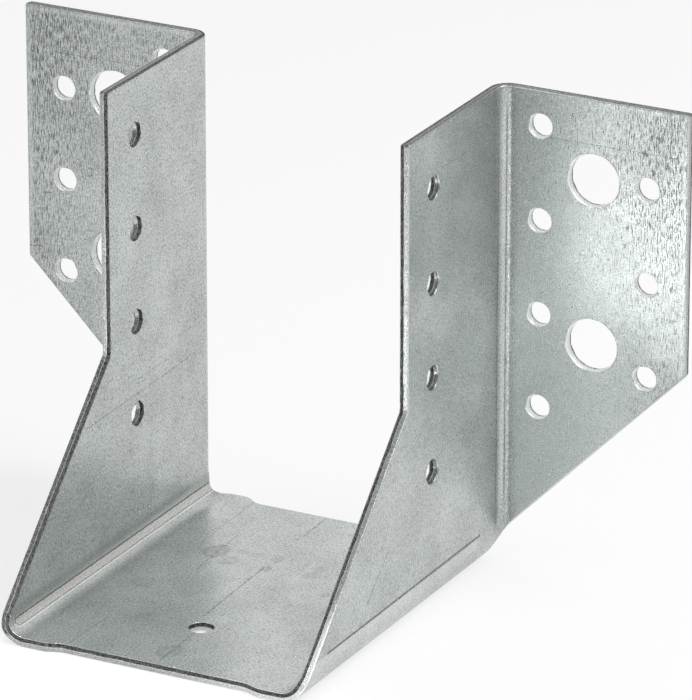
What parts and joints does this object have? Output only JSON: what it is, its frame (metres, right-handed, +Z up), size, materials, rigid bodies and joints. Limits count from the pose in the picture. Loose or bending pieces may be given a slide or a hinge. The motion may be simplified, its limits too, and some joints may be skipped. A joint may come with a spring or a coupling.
{
  "type": "joist hanger",
  "caption": "Folded sheet-metal hanger with a flat seat, two upright cheeks slanted at the front and outward flanges, pierced for nails and bolts.",
  "frame": {"origin": "middle of the bounding box's bottom face: midway between the cheeks, midway in depth, on the underside of the seat", "axes": "+X across the joist to the right seen from the front, +Y from the seat's front edge towards the header, +Z up"},
  "size_m": [0.1504, 0.0864, 0.102],
  "materials": {
    "zinc_sheet": "zinc-coated mild steel, satin grey with a fine drawn grain"
  },
  "bodies": {
    "root": {"hanger": "zinc_sheet"}
  },
  "joints": []
}
